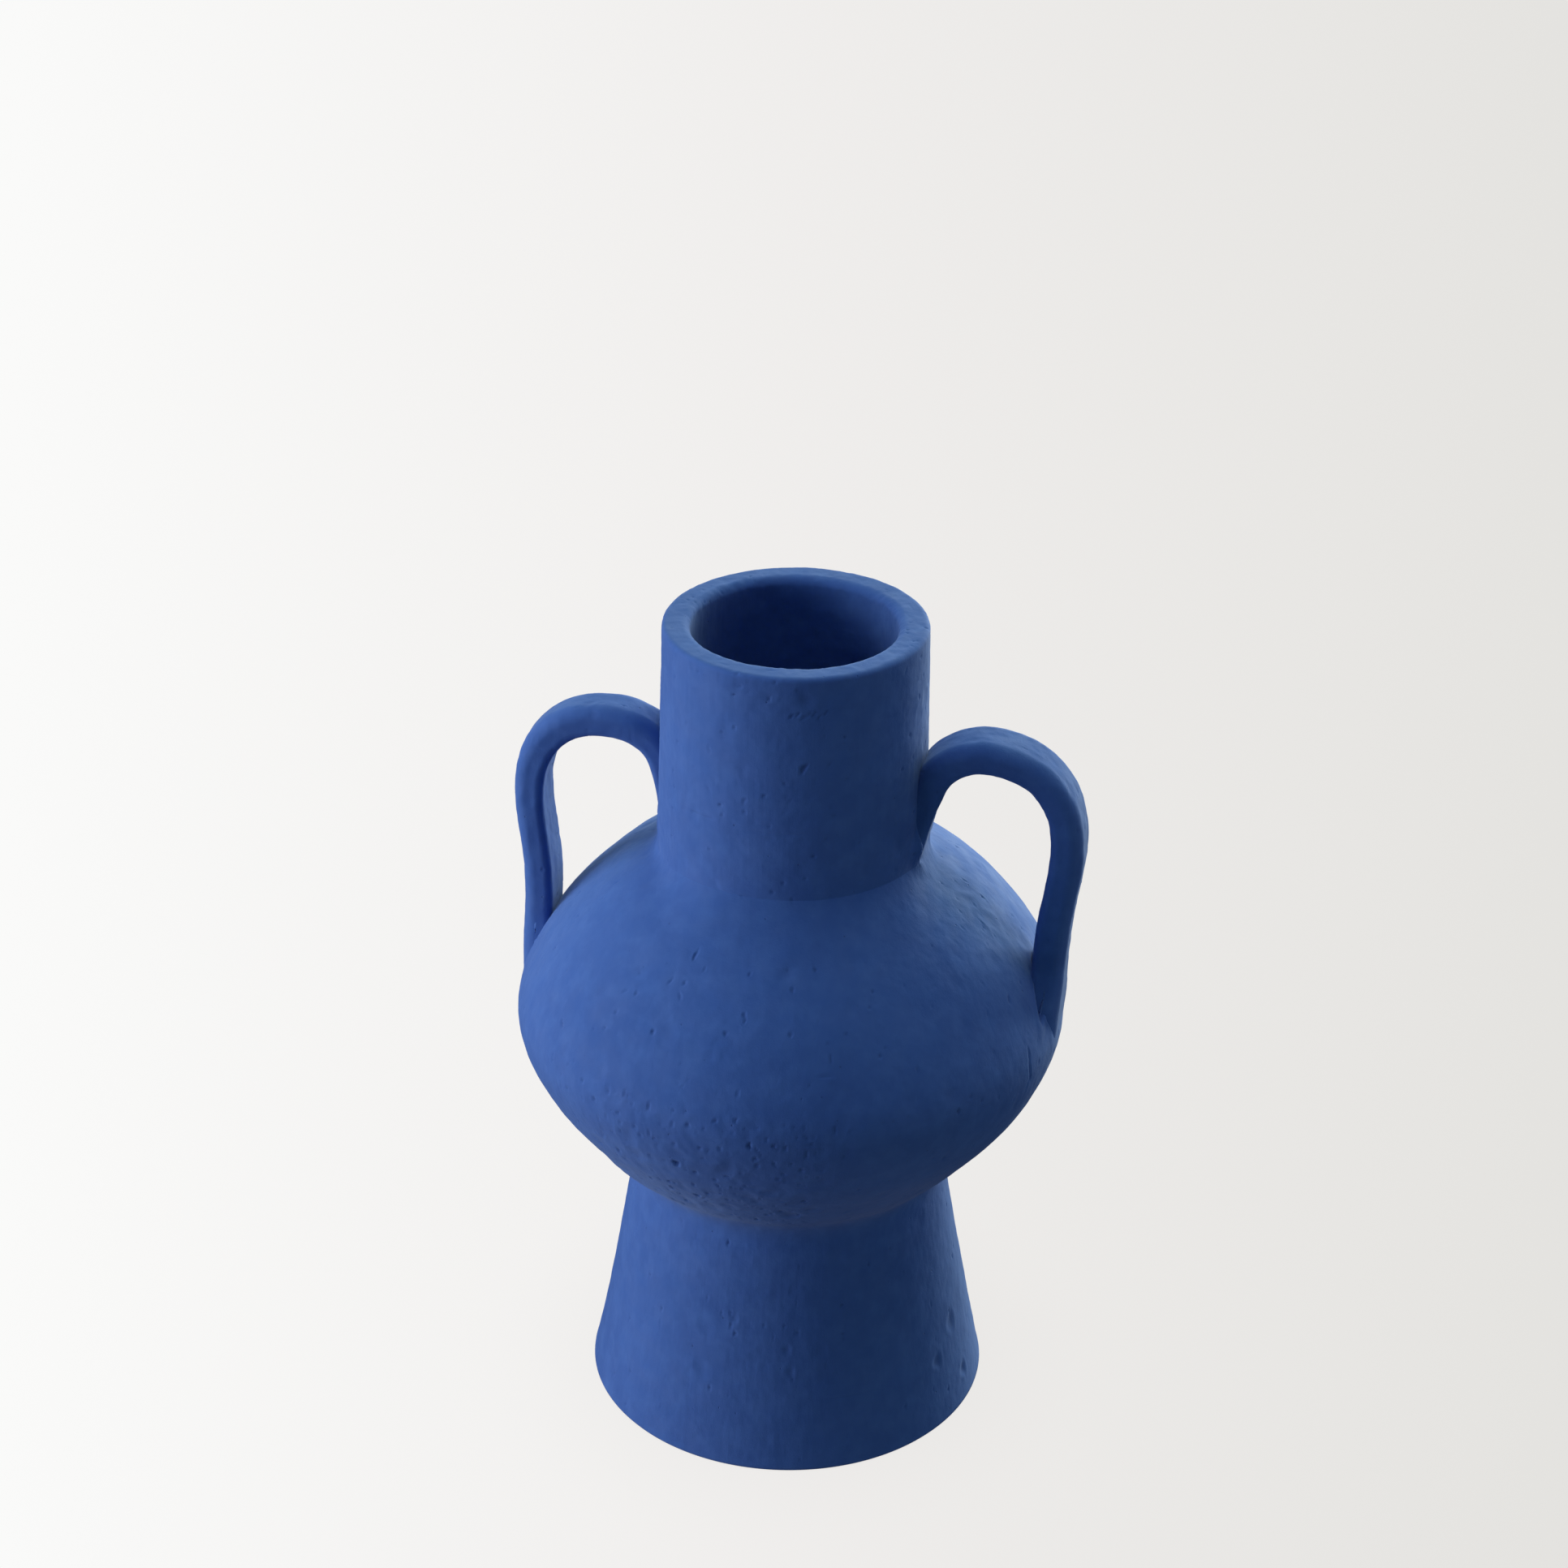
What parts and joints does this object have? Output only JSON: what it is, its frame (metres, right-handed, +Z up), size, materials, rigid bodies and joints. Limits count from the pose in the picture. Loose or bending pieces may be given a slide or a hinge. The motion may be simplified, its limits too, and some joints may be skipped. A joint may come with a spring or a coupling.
{
  "type": "amphora",
  "caption": "Free-standing two-handled amphora in matt blue earthenware: flared hollow foot, lens-shaped belly, straight open neck and arched strap handles.",
  "frame": {"origin": "on the pot's own axis, at the level of the standing ring", "axes": "+Z up along the pot's axis; the two handles lie in the XZ plane, towards +X and -X"},
  "size_m": [0.1992, 0.1912, 0.3],
  "materials": {
    "matt_blue_earthenware": "matte"
  },
  "bodies": {
    "root": {"foot": "matt_blue_earthenware", "waist_coil": "matt_blue_earthenware", "lower_bowl": "matt_blue_earthenware", "belly_seam_coil": "matt_blue_earthenware", "shoulder": "matt_blue_earthenware", "neck_coil": "matt_blue_earthenware", "neck": "matt_blue_earthenware", "handle_left": "matt_blue_earthenware", "handle_right": "matt_blue_earthenware"}
  },
  "joints": []
}
